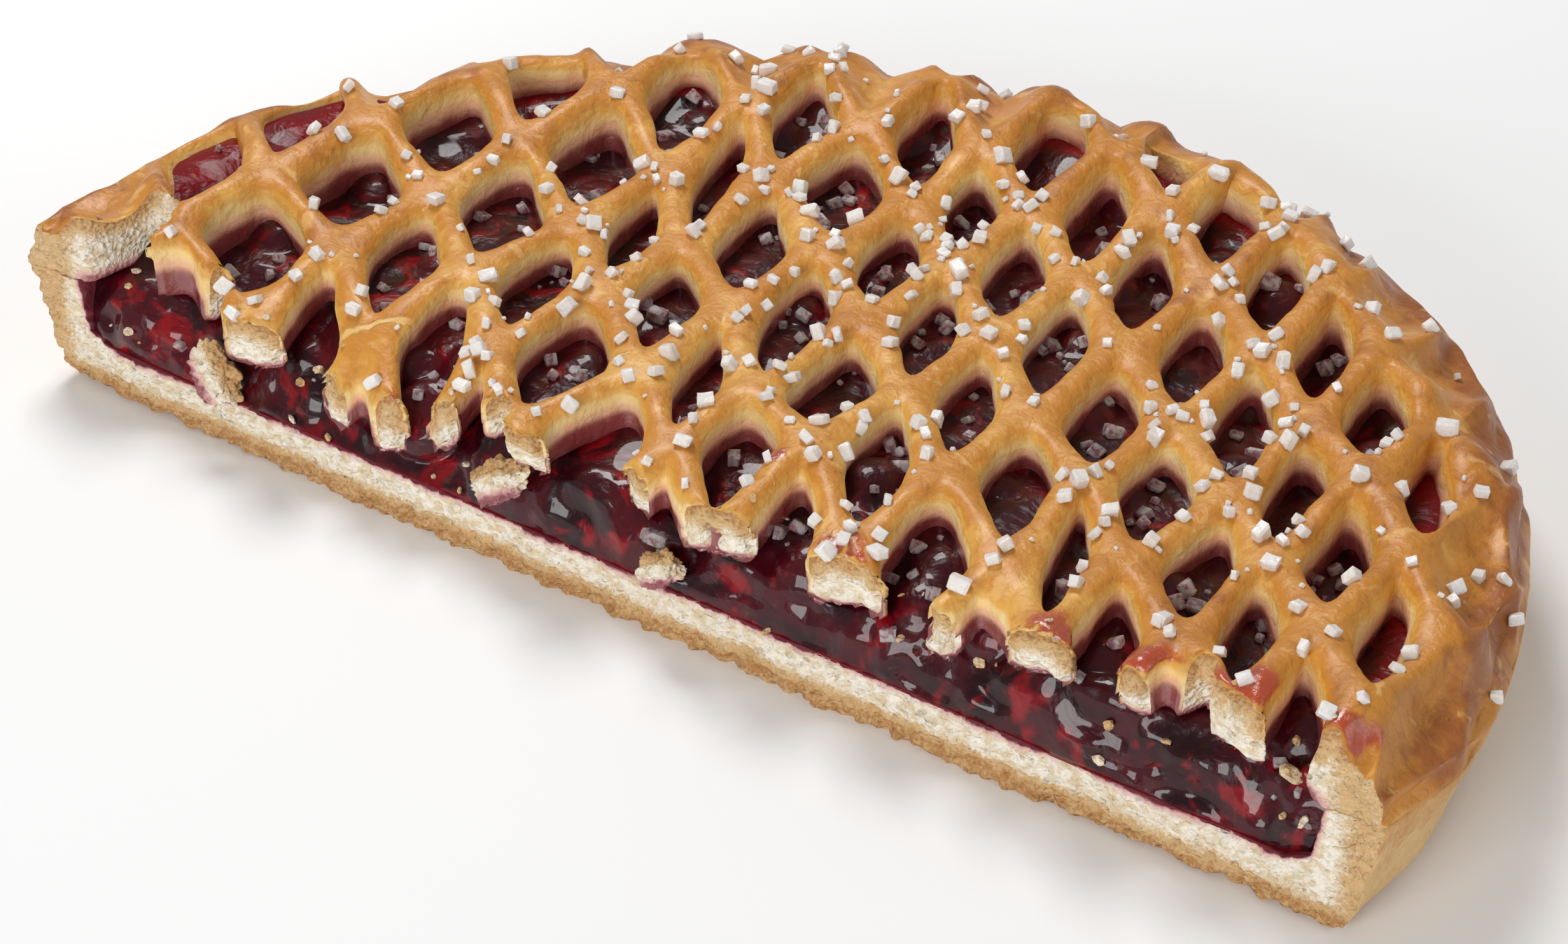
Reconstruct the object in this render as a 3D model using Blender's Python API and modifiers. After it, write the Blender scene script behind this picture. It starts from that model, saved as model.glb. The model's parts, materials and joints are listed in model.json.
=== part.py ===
"""Half of a round lattice-topped cherry pie, lying flat with its cut side towards -Y.

Origin: centre of the whole round pie, on its underside. The cut runs along X, a little past the centre.
The pieces are the dough crust (base and wall), the cherry filling, the dough lattice that wraps over
the rim, and the loose chips of crust that stick to the filling at the cut.
"""

import math

import bmesh
import bpy
from mathutils import Vector, noise

# ---------------------------------------------------------------- driving dimensions, metres
CUT_Y = -0.008            # the cut lies this far past the centre
RADIUS = 0.140            # widest radius, just under the rim
BASE_HEIGHT = 0.010       # dough under the filling
WALL_TOP = 0.0227         # where the wall ends and the lattice sheet lies on it
FILLING_RADIUS = 0.1265   # inner face of the wall
FOOT_RADIUS = 0.1335      # underside, inside the rounded foot
GAP = 0.0003              # clearance between neighbouring pieces

LID_FLOOR = WALL_TOP + GAP    # underside of the lattice
LID_TOP = 0.0330              # top of the strands in the middle of the pie
RIM_TOP = 0.0375              # top of the strands on the rim
RIM_START = 0.1215            # radius at which the sheet begins to bend over the rim
SHEET_RADIUS = 0.1465         # radius of the sheet before it is folded down
RIM_FULLNESS = 0.85           # 1 rounds the rim as an ellipse, less makes it fuller
RIM_REACH = 0.1245            # openings further out than this are closed by the wall

# The lattice: a sheet cut with a slit roller and pulled open. A junction (c, r) lies at
# ORIGIN + c * STEP_C + r * STEP_R + c * c * CURL, and the net is less stretched towards both ends.
NET_ORIGIN = Vector((0.0032, 0.0256))
STEP_C = Vector((0.0186, -0.0145))
STEP_R = Vector((-0.0029, -0.0232))
CURL = Vector((-0.0003, 0.00014))
STRAND_HALF = 0.0041      # half the width of a strand
NET_COLUMNS = 10          # columns and rows laid out on either side of the middle
NET_ROWS = 10
STRAY = 0.0009            # how far a junction strays from the formula
PRESSED = 0.0065          # depth of the closed openings on the rim
LID_DETAIL = 0.42         # share of the rounded lid's triangles that is kept
# junctions that the hand pulled out of line: (column, row): shift in metres
PULLED = {
    (0, 0): (0.000, -0.0054), (1, 0): (-0.0016, 0.003), (3, -1): (0.0042, -0.0012),
    (-3, 1): (0.0042, -0.0008), (-3, 0): (0.0031, 0.0), (-2, -1): (-0.0034, 0.0011),
    (-1, 2): (-0.0039, -0.0017), (-4, 4): (0.0042, 0.0009), (-3, -1): (0.0007, 0.003),
    (2, -2): (0.0, -0.0032), (4, -3): (0.003, -0.0013), (-1, -3): (0.0, -0.0034),
    (-2, 0): (0.0008, -0.0033), (-1, 1): (0.0033, -0.0017), (5, -4): (0.0, 0.0026),
}

# how far the broken strands hang down at the cut: place along X, drop
DROOP = (
    (-0.110, 0.0), (-0.098, 0.0035), (-0.080, 0.0030), (-0.067, 0.0100), (-0.045, 0.0100),
    (-0.035, 0.0), (-0.015, 0.0015), (-0.005, 0.0035), (0.020, 0.0020), (0.040, 0.0040),
    (0.062, 0.0040), (0.076, 0.0), (0.125, 0.0),
)
DROOP_REACH = 0.020       # how far in from the cut the strands begin to hang

FILLING_LEAN = 0.008      # the cut face of the filling leans back by this much at its top
CORNER_PULL = 0.0035      # the wall is drawn in at the two corners of the cut
CORNER_REACH = 0.020

CHIPS = (                 # name, middle (x, z), length, height, turn in degrees
    ("crust_chip_left", (-0.0925, 0.0155), 0.0110, 0.0080, 55.0),
    ("crust_chip_middle", (-0.0290, 0.0175), 0.0130, 0.0070, -30.0),
    ("crust_chip_right", (0.0060, 0.0150), 0.0090, 0.0060, -25.0),
)
CHIP_THICKNESS = 0.0032

LUMP_SIZE = 0.017         # cherries under the surface of the filling
LUMP_HEIGHT = 0.0022


# ---------------------------------------------------------------- scene helpers
def clear_scene():
    for item in list(bpy.data.objects):
        bpy.data.objects.remove(item, do_unlink=True)


def new_collection(name):
    collection = bpy.data.collections.new(name)
    bpy.context.scene.collection.children.link(collection)
    return collection


def new_material(name, colour, roughness):
    material = bpy.data.materials.new(name)
    material.use_nodes = True
    shader = material.node_tree.nodes["Principled BSDF"]
    shader.inputs["Base Color"].default_value = (*colour, 1.0)
    shader.inputs["Roughness"].default_value = roughness
    shader.inputs["Metallic"].default_value = 0.0
    return material


def new_object(name, mesh, collection, material=None):
    item = bpy.data.objects.new(name, mesh)
    collection.objects.link(item)
    if material is not None:
        mesh.materials.append(material)
    return item


def mesh_from(bm, name):
    mesh = bpy.data.meshes.new(name)
    bm.to_mesh(mesh)
    bm.free()
    return mesh


def settled_mesh(item, name):
    """The item's mesh with its modifiers worked in; the item itself is removed."""
    bpy.context.view_layer.update()
    evaluated = item.evaluated_get(bpy.context.evaluated_depsgraph_get())
    mesh = bpy.data.meshes.new_from_object(evaluated)
    mesh.name = name
    bpy.data.objects.remove(item, do_unlink=True)
    return mesh


def smooth(value):
    value = min(1.0, max(0.0, value))
    return value * value * (3.0 - 2.0 * value)


def ramp(value, start, end):
    return smooth((value - start) / (end - start))


def ripple(x, y, size, seed):
    """Smooth unevenness between about -1 and 1."""
    return noise.noise(Vector((x / size, y / size, seed * 7.31)))


# ---------------------------------------------------------------- shared forms
def droop(x, y):
    """Drop of the broken strands near the cut."""
    depth = 0.0
    for (left, drop_left), (right, drop_right) in zip(DROOP, DROOP[1:]):
        if left <= x <= right:
            depth = drop_left + (drop_right - drop_left) * smooth((x - left) / (right - left))
    near = 1.0 - (y - CUT_Y) / DROOP_REACH
    return depth * min(1.0, max(0.0, near)) ** 1.5


def pull_in_corners(mesh):
    """Draws the wall and the lid in at the two ends of the cut."""
    for vertex in mesh.vertices:
        x, y, z = vertex.co
        reach = 1.0 - ramp(y, CUT_Y, CUT_Y + CORNER_REACH)
        outside = ramp(abs(x), FILLING_RADIUS + 0.002, RADIUS)
        pull = CORNER_PULL * reach * outside * (1.0 if x > 0 else 0.4)
        vertex.co.x = x - math.copysign(pull, x)


def cut_front(item, cutters, name, depth, wave, step, seed):
    """Cuts the item along the cut with an uneven face; depth is how far the face strays."""
    bm = bmesh.new()
    half = RADIUS + 0.02
    count = round(2 * half / step)
    bmesh.ops.create_grid(bm, x_segments=count, y_segments=1, size=0.5)
    for vertex in bm.verts:
        x = vertex.co.x * 2 * half
        if vertex.co.y > 0:
            y = CUT_Y + depth * ripple(x, 0.0, wave, seed)
        else:
            y = -RADIUS - 0.02
        vertex.co = (x, y, -0.01)
    bmesh.ops.solidify(bm, geom=bm.faces[:], thickness=-0.07)
    bmesh.ops.recalc_face_normals(bm, faces=bm.faces[:])
    cutter = new_object(name + "_cutter", mesh_from(bm, name + "_cutter"), cutters)
    cutter.hide_render = True
    cutter.display_type = "WIRE"
    boolean = item.modifiers.new("cut", "BOOLEAN")
    boolean.operation = "DIFFERENCE"
    boolean.object = cutter


def keep_largest_body(mesh):
    """Removes crumbs that the cut left unconnected."""
    bm = bmesh.new()
    bm.from_mesh(mesh)
    bmesh.ops.remove_doubles(bm, verts=bm.verts, dist=0.000002)
    bmesh.ops.dissolve_degenerate(bm, edges=bm.edges, dist=0.000002)
    unseen = set(bm.verts)
    bodies = []
    while unseen:
        front = [unseen.pop()]
        body = list(front)
        while front:
            vertex = front.pop()
            for edge in vertex.link_edges:
                other = edge.other_vert(vertex)
                if other in unseen:
                    unseen.remove(other)
                    front.append(other)
                    body.append(other)
        bodies.append(body)
    bodies.sort(key=len)
    for body in bodies[:-1]:
        bmesh.ops.delete(bm, geom=body, context="VERTS")
    bm.to_mesh(mesh)
    bm.free()


# ---------------------------------------------------------------- crust
def wall_inner(height):
    """Radius of the wall's inner face, which is hollowed out where it meets the base."""
    hollow = 0.0025
    if height < BASE_HEIGHT + hollow:
        return FILLING_RADIUS - 0.006 + 0.0045 * (height - BASE_HEIGHT) / hollow
    part = (height - BASE_HEIGHT - hollow) / (WALL_TOP - BASE_HEIGHT - hollow)
    return FILLING_RADIUS - 0.0015 * (1.0 - part)


def wall_profile():
    """The crust's outline from the inside of the wall round to the middle of the underside."""
    foot = 0.008
    outline = [(FILLING_RADIUS, WALL_TOP), (RADIUS - 0.0006, WALL_TOP)]
    outline += [(RADIUS - 0.0012, 0.018), (FOOT_RADIUS + 0.0035, foot + 0.002)]
    for index in range(5):
        angle = math.radians(90.0 * index / 4)
        across = FOOT_RADIUS - foot + 0.002 + foot * math.cos(angle)
        outline.append((across, foot - foot * math.sin(angle)))
    outline += [(0.090, 0.0), (0.045, 0.0), (0.0, 0.0)]
    inside = [(0.0, BASE_HEIGHT), (0.045, BASE_HEIGHT), (0.090, BASE_HEIGHT)]
    inside += [(wall_inner(height), height) for height in (BASE_HEIGHT, BASE_HEIGHT + 0.0025)]
    return outline, inside


def make_crust(collection, cutters, material):
    outline, inside = wall_profile()
    bm = bmesh.new()
    ring = [bm.verts.new((across, 0.0, height)) for across, height in outline + inside]
    for first, second in zip(ring, ring[1:] + ring[:1]):
        if first.co.x > 0 or second.co.x > 0:
            bm.edges.new((first, second))
    profile = new_object("crust_profile", mesh_from(bm, "crust_profile"), collection)
    screw = profile.modifiers.new("turn", "SCREW")
    screw.steps = screw.render_steps = 72
    screw.use_merge_vertices = True
    screw.merge_threshold = 0.00005
    cut_front(profile, cutters, "crust", 0.0006, 0.013, 0.007, 3.0)
    mesh = settled_mesh(profile, "crust")
    pull_in_corners(mesh)
    return new_object("crust", mesh, collection, material)


# ---------------------------------------------------------------- filling
def filling_top(x, y):
    lumps = LUMP_HEIGHT * (0.5 + 0.5 * ripple(x, y, LUMP_SIZE, 1.0))
    return WALL_TOP - min(LUMP_HEIGHT, max(0.0, lumps)) - 1.05 * droop(x, y)


def make_filling(collection, material):
    floor = BASE_HEIGHT + GAP
    reach = FILLING_RADIUS - 2 * GAP
    columns, rows, layers = 44, 15, 4
    bm = bmesh.new()
    bmesh.ops.create_grid(bm, x_segments=columns, y_segments=rows, size=0.5)
    for vertex in bm.verts:
        along = (vertex.co.y + 0.5) * 0.965
        y = CUT_Y + (reach - CUT_Y) * math.sin(along * math.pi / 2)
        x = 2.0 * vertex.co.x * math.sqrt(reach * reach - y * y)
        vertex.co = (x, y, 0.0)
    bmesh.ops.solidify(bm, geom=bm.faces[:], thickness=1.0)
    lowest = min(vertex.co.z for vertex in bm.verts)
    under = [face for face in bm.faces if all(v.co.z < lowest + 0.5 for v in face.verts)]
    bmesh.ops.dissolve_faces(bm, faces=under)
    upright = [e for e in bm.edges if abs(e.verts[0].co.z - e.verts[1].co.z) > 0.5]
    bmesh.ops.subdivide_edges(bm, edges=upright, cuts=layers - 1, use_grid_fill=True)
    for vertex in bm.verts:
        x, y, level = vertex.co.x, vertex.co.y, vertex.co.z - lowest
        across = math.hypot(x, y)
        height = floor + (filling_top(x, y) - floor) * level
        near = max(0.0, 1.0 - (y - CUT_Y) / 0.024)
        lean = FILLING_LEAN * level * near
        if y < CUT_Y + 0.001:
            bulge = 0.5 + ripple(x, height, 0.011, 2.0)
            lean -= 0.0030 * min(1.0, max(0.0, bulge)) * math.sin(math.pi * level)
        inward = 1.0 + (wall_inner(height) - 2 * GAP - reach) / reach * ramp(across, 0.10, reach)
        vertex.co = (x * inward, max(CUT_Y + 0.0004, y * inward + lean), height)
    bmesh.ops.recalc_face_normals(bm, faces=bm.faces[:])
    return new_object("cherry_filling", mesh_from(bm, "cherry_filling"), collection, material)


# ---------------------------------------------------------------- lattice
def junction(column, row):
    place = NET_ORIGIN + column * STEP_C + row * STEP_R + column * column * CURL
    shift = PULLED.get((column, row))
    if shift is not None:
        return place + Vector(shift)
    stray_x = ripple(column * 1.7, row * 1.3, 1.0, 4.0)
    stray_y = ripple(column * 1.7, row * 1.3, 1.0, 5.0)
    return place + 2 * STRAY * Vector((stray_x, stray_y))


def fold_over_rim(x, y, upper, dimple):
    """Lays a point of the flat sheet on the pie; dimple is how deep it is pressed in."""
    across = math.hypot(x, y)
    over = min(1.0, max(0.0, (across - RIM_START) / (SHEET_RADIUS - RIM_START)))
    angle = over * math.pi / 2
    wall = RADIUS - RIM_START
    if upper:
        crown = LID_TOP + (RIM_TOP - LID_TOP) * ramp(across, 0.085, RIM_START)
        crown += 0.0007 * ripple(x, y, 0.03, 6.0)
        up = max(0.0, math.cos(angle)) ** RIM_FULLNESS
        out = math.sin(angle) ** RIM_FULLNESS
        height = LID_FLOOR + 0.0005 + (crown - LID_FLOOR - dimple) * up
        reach = (wall - 0.5 * dimple) * out
    else:
        height = LID_FLOOR
        reach = (wall - 0.0006) * over
    if across > RIM_START:
        scale = (RIM_START + reach) / across
        x, y = x * scale, y * scale
    return Vector((x, y, height - droop(x, y)))


def net_cells():
    """The flat sheet of quad cells between the junctions, trimmed round."""
    bm = bmesh.new()
    bmesh.ops.create_grid(bm, x_segments=2 * NET_COLUMNS, y_segments=2 * NET_ROWS, size=1.0)
    for vertex in bm.verts:
        column = round(vertex.co.x * NET_COLUMNS)
        row = round(-vertex.co.y * NET_ROWS)
        place = junction(column, row)
        vertex.co = (place.x, place.y, 0.0)
    spare = []
    for face in bm.faces:
        middle = face.calc_center_median()
        if math.hypot(middle.x, middle.y) > SHEET_RADIUS - 0.006 or middle.y < CUT_Y - 0.030:
            spare.append(face)
    bmesh.ops.delete(bm, geom=spare, context="FACES")
    for vertex in bm.verts:
        if vertex.is_boundary and vertex.co.y > CUT_Y - 0.016:
            across = math.hypot(vertex.co.x, vertex.co.y)
            if across > RIM_START - 0.012:
                vertex.co *= SHEET_RADIUS / across
    bmesh.ops.recalc_face_normals(bm, faces=bm.faces[:])
    if sum(face.normal.z for face in bm.faces) < 0:
        bmesh.ops.reverse_faces(bm, faces=bm.faces[:])
    bmesh.ops.bisect_edges(bm, edges=bm.edges[:], cuts=1)
    for vertex in bm.verts:
        across = math.hypot(vertex.co.x, vertex.co.y)
        if vertex.is_boundary and vertex.co.y > CUT_Y - 0.016 and across > RIM_START:
            vertex.co *= SHEET_RADIUS / across
    return bm


def make_lattice(collection, cutters, material):
    bm = net_cells()
    cells = bm.faces[:]
    bmesh.ops.inset_individual(bm, faces=cells, thickness=STRAND_HALF, use_even_offset=True)
    pressed = bm.verts.layers.float.new("pressed")
    holes = []
    for cell in cells:
        middle = cell.calc_center_median()
        across = math.hypot(middle.x, middle.y)
        if across < RIM_REACH:
            holes.append(cell)
        else:
            for vertex in cell.verts:
                vertex[pressed] = PRESSED
    bmesh.ops.delete(bm, geom=holes, context="FACES")
    bmesh.ops.solidify(bm, geom=bm.faces[:], thickness=1.0)
    middle_height = sum(vertex.co.z for vertex in bm.verts) / len(bm.verts)
    for vertex in bm.verts:
        upper = vertex.co.z > middle_height
        vertex.co = fold_over_rim(vertex.co.x, vertex.co.y, upper, vertex[pressed])
    bmesh.ops.recalc_face_normals(bm, faces=bm.faces[:])
    item = new_object("lattice_lid", mesh_from(bm, "lattice_lid"), collection)
    rounding = item.modifiers.new("round", "SUBSURF")
    rounding.levels = rounding.render_levels = 1
    thinning = item.modifiers.new("thin", "DECIMATE")
    thinning.ratio = LID_DETAIL
    cut_front(item, cutters, "lattice", 0.0045, 0.016, 0.006, 9.0)
    mesh = settled_mesh(item, "lattice_lid")
    keep_largest_body(mesh)
    pull_in_corners(mesh)
    return new_object("lattice_lid", mesh, collection, material)


# ---------------------------------------------------------------- chips at the cut
def make_chip(name, middle, length, height, turn, collection, material):
    x, z = middle
    bm = bmesh.new()
    bmesh.ops.create_icosphere(bm, subdivisions=2, radius=0.5)
    for vertex in bm.verts:
        rough = 1.0 + 0.35 * noise.noise(vertex.co * 3.0 + Vector((x * 900.0, 0.0, 0.0)))
        vertex.co = vertex.co * rough
        vertex.co = (vertex.co.x * length, vertex.co.y * CHIP_THICKNESS, vertex.co.z * height)
    item = new_object(name, mesh_from(bm, name), collection, material)
    level = (z - BASE_HEIGHT) / (WALL_TOP - BASE_HEIGHT)
    item.location = (x, CUT_Y + FILLING_LEAN * level - 0.0044, z)
    item.rotation_euler = (math.radians(-35.0), math.radians(turn), 0.0)
    return item


# ---------------------------------------------------------------- the pie
def main():
    clear_scene()
    pie = new_collection("cherry_pie_half")
    cutters = new_collection("cutters")
    baked = new_material("baked_dough", (0.62, 0.36, 0.12), 0.45)
    base = new_material("base_dough", (0.68, 0.46, 0.22), 0.75)
    cherry = new_material("cherry_filling", (0.10, 0.008, 0.02), 0.15)
    crumb = new_material("crumb", (0.80, 0.66, 0.42), 0.85)
    make_crust(pie, cutters, base)
    make_filling(pie, cherry)
    make_lattice(pie, cutters, baked)
    for name, middle, length, height, turn in CHIPS:
        make_chip(name, middle, length, height, turn, pie, crumb)


main()
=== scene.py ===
"""Half of a lattice-topped cherry pie: crust, filling, lattice, coarse sugar, crumbs and jam."""

import json
import math
import random

import bmesh
import bpy
import numpy as np
from mathutils import Matrix, Vector, noise
from mathutils.bvhtree import BVHTree
from mathutils.kdtree import KDTree

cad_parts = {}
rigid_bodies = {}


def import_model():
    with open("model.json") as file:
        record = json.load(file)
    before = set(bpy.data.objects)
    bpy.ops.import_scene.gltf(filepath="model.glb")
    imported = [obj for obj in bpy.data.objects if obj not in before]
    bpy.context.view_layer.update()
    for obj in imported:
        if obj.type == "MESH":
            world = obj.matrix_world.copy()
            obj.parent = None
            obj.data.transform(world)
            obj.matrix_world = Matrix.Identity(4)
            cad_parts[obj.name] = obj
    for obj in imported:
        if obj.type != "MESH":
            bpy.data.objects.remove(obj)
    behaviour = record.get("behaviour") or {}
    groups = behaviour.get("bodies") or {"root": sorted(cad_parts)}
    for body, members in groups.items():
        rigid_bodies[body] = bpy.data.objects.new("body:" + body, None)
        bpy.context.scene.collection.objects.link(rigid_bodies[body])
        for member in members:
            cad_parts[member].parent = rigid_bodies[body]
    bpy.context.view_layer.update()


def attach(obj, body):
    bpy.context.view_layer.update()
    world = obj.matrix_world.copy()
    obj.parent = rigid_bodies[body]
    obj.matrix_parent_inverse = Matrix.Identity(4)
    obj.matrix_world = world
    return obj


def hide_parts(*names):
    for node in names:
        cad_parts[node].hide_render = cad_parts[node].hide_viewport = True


for item in list(bpy.data.objects):
    bpy.data.objects.remove(item, do_unlink=True)
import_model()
MM = 0.001

# ---------------------------------------------------------------- the pie's measures, metres
CUT_Y = -0.008            # the cut lies this far past the centre of the round pie
RADIUS = 0.140
BASE_HEIGHT = 0.010
WALL_TOP = 0.0227
FILLING_RADIUS = 0.1265
FOOT_RADIUS = 0.1335
LID_FLOOR = 0.0230
LID_TOP = 0.0330
RIM_TOP = 0.0375
RIM_START = 0.1215
SHEET_RADIUS = 0.1465
RIM_FULLNESS = 0.85
RIM_REACH = 0.1245
NET_ORIGIN = Vector((0.0032, 0.0256))
STEP_C = Vector((0.0186, -0.0145))
STEP_R = Vector((-0.0029, -0.0232))
CURL = Vector((-0.0003, 0.00014))
OPENING_END = 0.0048      # dough between the pointed end of an opening and its junction
OPENING_SIDE = 0.0058     # dough between the round side of an opening and its junction
OPENING_ROUNDNESS = 1.3   # 1 gives a straight-sided diamond, 2 a full lens
OPENING_REACH = 0.1240    # no opening reaches further out than this
LEFT_REACH = 0.1310       # except at the left, where the rim is thin
OPENED = ((-0.118, 0.046), (0.026, 0.123))  # openings beyond the reach of the others
CLOSED = ((-0.123, 0.001),)  # and one of the others is closed
LEFT_SLIDE = Vector((-0.0025, -0.0075, 0.0))  # how far the net has slid at the left rim
STRAND_SHOULDER = 0.0011  # the upper edges of a strand lie this much below its middle
RIDGE = 0.0007            # lift of the strands between the closed openings of the rim
NET_COLUMNS = 10
NET_ROWS = 10
STRAY = 0.0009
PRESSED = 0.0034
PULLED = {
    (0, 0): (0.000, -0.0054), (1, 0): (-0.0016, 0.003), (3, -1): (0.0042, -0.0012),
    (-3, 1): (0.0042, -0.0008), (-3, 0): (0.0031, 0.0), (-2, -1): (-0.0034, 0.0011),
    (-1, 2): (-0.0039, -0.0017), (-4, 4): (0.0042, 0.0009), (-3, -1): (0.0007, 0.003),
    (2, -2): (0.0, -0.0032), (4, -3): (0.003, -0.0013), (-1, -3): (0.0, -0.0034),
    (-2, 0): (0.0008, -0.0033), (-1, 1): (0.0033, -0.0017), (5, -4): (0.0, 0.0026),
}
DROOP = (
    (-0.110, 0.0), (-0.098, 0.0035), (-0.080, 0.0030), (-0.067, 0.0100), (-0.045, 0.0100),
    (-0.035, 0.0), (-0.015, 0.0015), (-0.005, 0.0035), (0.020, 0.0020), (0.040, 0.0040),
    (0.062, 0.0040), (0.076, 0.0), (0.125, 0.0),
)
DROOP_REACH = 0.020
FILLING_LEAN = 0.008
SWELL = 0.0026            # the filling rises this far into the openings
CLIMB = 0.0038            # and this much further where it has boiled up against the rim
LEFT_CLIMB = 0.0026       # and still more at the left
SPREAD = 0.0050           # how far it has spread over the wall, under the lattice
CORNER_PULL = 0.0035
CORNER_REACH = 0.020
CHIPS = (                 # name, middle (x, z), length, height, turn in degrees
    ("crust_chip_left", (-0.0925, 0.0155), 0.0110, 0.0080, 55.0),
    ("crust_chip_middle", (-0.0290, 0.0175), 0.0130, 0.0070, -30.0),
    ("crust_chip_right", (0.0060, 0.0150), 0.0090, 0.0060, -25.0),
)
NOTCHES = (               # x, reach and depth of the parts that broke away behind the cut
    (-0.1160, 0.0085, 0.0150), (-0.0950, 0.0040, 0.0060), (-0.0290, 0.0040, 0.0050),
    (0.0280, 0.0040, 0.0045), (0.0860, 0.0035, 0.0050), (0.1020, 0.0035, 0.0050),
)
JAM_SPOTS = (             # x, y, reach of jam smeared on the strands
    (0.038, -0.006, 0.006), (0.053, -0.008, 0.007), (0.079, -0.007, 0.006),
    (0.094, -0.006, 0.006), (0.110, -0.006, 0.007), (0.129, -0.006, 0.006),
    (0.018, 0.007, 0.003), (-0.010, -0.006, 0.005), (-0.052, -0.009, 0.005),
    (0.068, -0.009, 0.006), (0.122, -0.008, 0.005), (-0.030, -0.008, 0.004),
)


# ---------------------------------------------------------------- numbers and meshes
def smooth(value):
    value = min(1.0, max(0.0, value))
    return value * value * (3.0 - 2.0 * value)


def ramp(value, start, end):
    return smooth((value - start) / (end - start))


def np_ramp(value, start, end):
    value = np.clip((value - start) / (end - start), 0.0, 1.0)
    return value * value * (3.0 - 2.0 * value)


def ripple(x, y, size, seed):
    return noise.noise(Vector((x / size, y / size, seed * 7.31)))


def unevenness(points, size, seed, stretch=(1.0, 1.0, 1.0)):
    """Smooth noise between about -1 and 1 at every point; size is that of its lumps."""
    shift = Vector((seed * 3.17, seed * 5.71, seed * 2.39))
    scale = np.array(stretch) * size
    return np.array([noise.noise(Vector(p) + shift) for p in points / scale])


def points_of(mesh):
    flat = np.empty(len(mesh.vertices) * 3)
    mesh.vertices.foreach_get("co", flat)
    return flat.reshape(-1, 3)


def normals_of(mesh):
    flat = np.empty(len(mesh.vertices) * 3, dtype=np.float32)
    mesh.vertex_normals.foreach_get("vector", flat)
    return flat.reshape(-1, 3).astype(float)


def place_points(mesh, points):
    mesh.vertices.foreach_set("co", points.astype(np.float32).ravel())
    mesh.update()


def store(mesh, name, values):
    layer = mesh.attributes.new(name, "FLOAT", "POINT")
    layer.data.foreach_set("value", np.asarray(values, dtype=np.float32))


def mesh_from(bm, name):
    mesh = bpy.data.meshes.new(name)
    bm.to_mesh(mesh)
    bm.free()
    return mesh


def new_piece(name, mesh, materials=()):
    piece = bpy.data.objects.new(name, mesh)
    bpy.context.scene.collection.objects.link(piece)
    for material in materials:
        mesh.materials.append(material)
    return piece


def settled_mesh(item, name):
    """The item's mesh with its modifiers worked in; the item itself is removed."""
    bpy.context.view_layer.update()
    evaluated = item.evaluated_get(bpy.context.evaluated_depsgraph_get())
    mesh = bpy.data.meshes.new_from_object(evaluated)
    mesh.name = name
    bpy.data.objects.remove(item, do_unlink=True)
    return mesh


def turn_outward(bm):
    """Makes the faces of a closed shell point out of it."""
    bmesh.ops.recalc_face_normals(bm, faces=bm.faces[:])
    if bm.calc_volume(signed=True) < 0:
        bmesh.ops.reverse_faces(bm, faces=bm.faces[:])


def keep_largest_body(mesh):
    bm = bmesh.new()
    bm.from_mesh(mesh)
    bmesh.ops.remove_doubles(bm, verts=bm.verts, dist=0.000002)
    unseen = set(bm.verts)
    bodies = []
    while unseen:
        front = [unseen.pop()]
        body = list(front)
        while front:
            for edge in front.pop().link_edges:
                for other in edge.verts:
                    if other in unseen:
                        unseen.remove(other)
                        front.append(other)
                        body.append(other)
        bodies.append(body)
    bodies.sort(key=len)
    for body in bodies[:-1]:
        bmesh.ops.delete(bm, geom=body, context="VERTS")
    turn_outward(bm)
    bm.to_mesh(mesh)
    bm.free()


# ---------------------------------------------------------------- shader maths
class Value:
    """A shader socket that can be used in sums, products and powers."""

    def __init__(self, finish, socket):
        self.finish = finish
        self.socket = socket

    def join(self, operation, first, second):
        return self.finish.node("Math", {"operation": operation}, {0: first, 1: second})

    def __add__(self, other):
        return self.join("ADD", self, other)

    def __sub__(self, other):
        return self.join("SUBTRACT", self, other)

    def __rsub__(self, other):
        return self.join("SUBTRACT", other, self)

    def __mul__(self, other):
        return self.join("MULTIPLY", self, other)

    def __truediv__(self, other):
        return self.join("DIVIDE", self, other)

    def __pow__(self, other):
        return self.join("POWER", self, other)

    def over(self, other):
        return self.join("MAXIMUM", self, other)

    __radd__ = __add__
    __rmul__ = __mul__


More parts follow.
